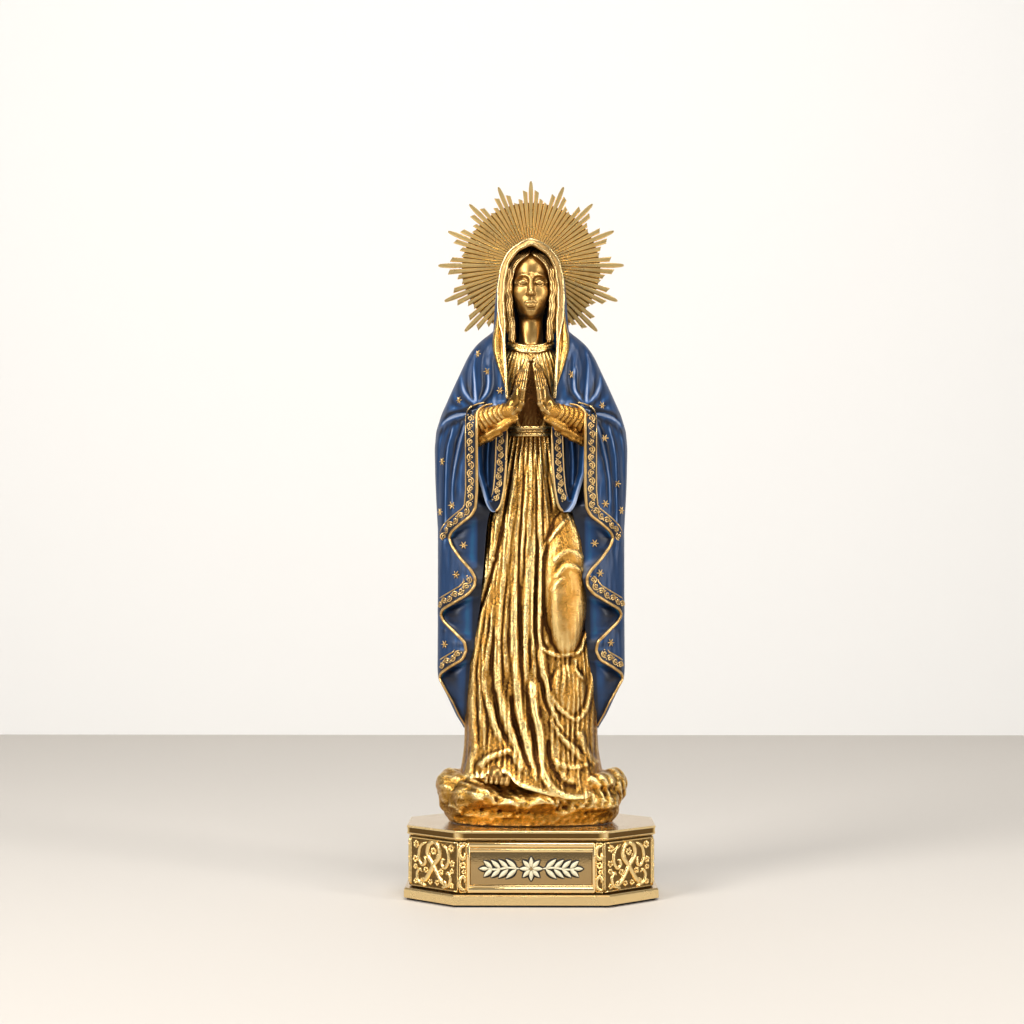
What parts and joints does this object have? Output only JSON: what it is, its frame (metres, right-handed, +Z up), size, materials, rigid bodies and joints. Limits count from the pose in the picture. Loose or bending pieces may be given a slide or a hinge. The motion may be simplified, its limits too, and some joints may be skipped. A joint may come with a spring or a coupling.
{
  "type": "madonna statue",
  "caption": "Standing Madonna at prayer in a blue mantle over a gold robe, on a rock and an eight-sided relief pedestal, with a pull-off sunburst halo.",
  "frame": {"origin": "middle of the pedestal's underside", "axes": "+Z up, the figure faces -Y, +X to the right of someone who looks at its face"},
  "size_m": [0.1032, 0.065, 0.3],
  "materials": {
    "antique_gold": "cast resin with antiqued gold leafing, brown in the grooves and bright on the ridges",
    "bright_gold": "cast resin with rubbed light gold leafing",
    "dark_bronze": "cast resin with a dark antiqued ground",
    "blue_glaze": "cast resin with blue wash, dark in the folds and rubbed pale on the ridges, with gold borders and stars",
    "ivory_enamel": "cream enamel",
    "halo_brass": "textured brass",
    "zinc_steel": "plain zinc plate",
    "felt": "glued felt"
  },
  "bodies": {
    "statue": {"felt_base": "felt", "plinth_base": "bright_gold", "frieze_core": "dark_bronze", "top_slab": "bright_gold", "relief_panel_front_right": "antique_gold", "relief_panel_right": "antique_gold", "relief_panel_back_right": "antique_gold", "relief_panel_back": "antique_gold", "relief_panel_back_left": "antique_gold", "relief_panel_left": "antique_gold", "relief_panel_front_left": "antique_gold", "scroll_end_left": "antique_gold", "scroll_end_right": "antique_gold", "nameplate_frame": "bright_gold", "nameplate_plate": "dark_bronze", "nameplate_emblem": "ivory_enamel", "mount_bolt": "zinc_steel", "mount_washer": "zinc_steel", "rock_insert": "halo_brass", "rock_base": "antique_gold", "armature_rod": "zinc_steel", "robe_skirt": "antique_gold", "belt": "antique_gold", "robe_bodice": "antique_gold", "foot": "antique_gold", "mantle_back": "blue_glaze", "mantle_fall_left": "blue_glaze", "mantle_fall_right": "blue_glaze", "sleeve_loop_left": "blue_glaze", "sleeve_loop_right": "blue_glaze", "forearm_left": "antique_gold", "forearm_right": "antique_gold", "hand_left": "bright_gold", "hand_right": "bright_gold", "head": "bright_gold", "hair_left": "antique_gold", "hair_right": "antique_gold", "collar": "bright_gold", "veil": "bright_gold", "veil_lapel_left": "bright_gold", "veil_lapel_right": "bright_gold", "mantle_hood": "blue_glaze", "halo_socket": "zinc_steel"},
    "halo": {"halo_sunburst": "halo_brass", "halo_hub": "halo_brass", "halo_peg": "zinc_steel"}
  },
  "joints": [
    {"name": "halo_pull", "type": "slide", "parent": "statue", "child": "halo", "axis": [0, 1, 0], "range_m": [0, 0.012]}
  ]
}
